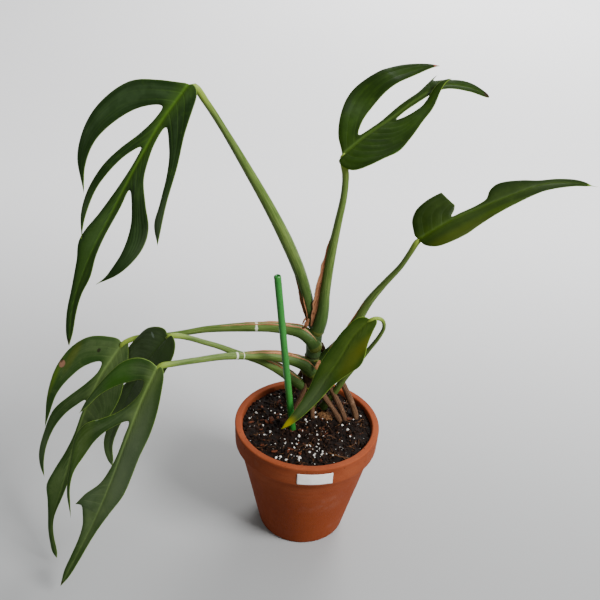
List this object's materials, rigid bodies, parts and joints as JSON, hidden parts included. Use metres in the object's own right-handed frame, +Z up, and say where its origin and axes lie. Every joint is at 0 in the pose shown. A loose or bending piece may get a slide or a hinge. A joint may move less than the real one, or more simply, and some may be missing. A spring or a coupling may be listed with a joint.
{
  "type": "potted monstera plant",
  "caption": "Climbing aroid with long deeply split leaves on arched stalks, growing from a short leaning stem in a collared terracotta pot with soil and a support stake.",
  "frame": {"origin": "middle of the pot's underside, on the plane the pot rests on", "axes": "+Z up, -Y towards the viewer of the picture, where the label is, and +X to the viewer's right"},
  "size_m": [0.4652, 0.2366, 0.4294],
  "materials": {
    "terracotta": "matte unglazed clay",
    "soil": "loose dark potting mix with white grit and bark",
    "label": "matte, blank",
    "stake": "translucent green",
    "leaf": "satin deep green leaf with raised veins and a thin pale edge",
    "stalk": "smooth green stalk",
    "stem": "green to brown stem with pale scars",
    "root": "rough brown aerial root",
    "sheath": "dry papery tan sheath"
  },
  "bodies": {
    "root": {"pot": "terracotta", "soil": "soil", "label": "label", "stake": "stake", "stem": "stem", "blade_a": "leaf", "blade_b": "leaf", "blade_c": "leaf", "blade_d": "leaf", "blade_e": "leaf", "blade_f": "leaf", "blade_g": "leaf", "stalk_a": "stalk", "stalk_b": "stalk", "stalk_c": "stalk", "stalk_d": "stalk", "stalk_e": "stalk", "stalk_f": "stalk", "stalk_g": "stalk", "root_1": "root", "root_2": "root", "root_3": "root", "root_4": "root", "root_5": "root", "root_6": "root", "root_7": "root", "husk": "root", "sheath_a": "sheath", "sheath_b": "sheath", "sheath_c": "sheath", "sheath_e": "sheath", "sheath_f": "sheath", "sheath_g": "sheath"}
  },
  "joints": []
}
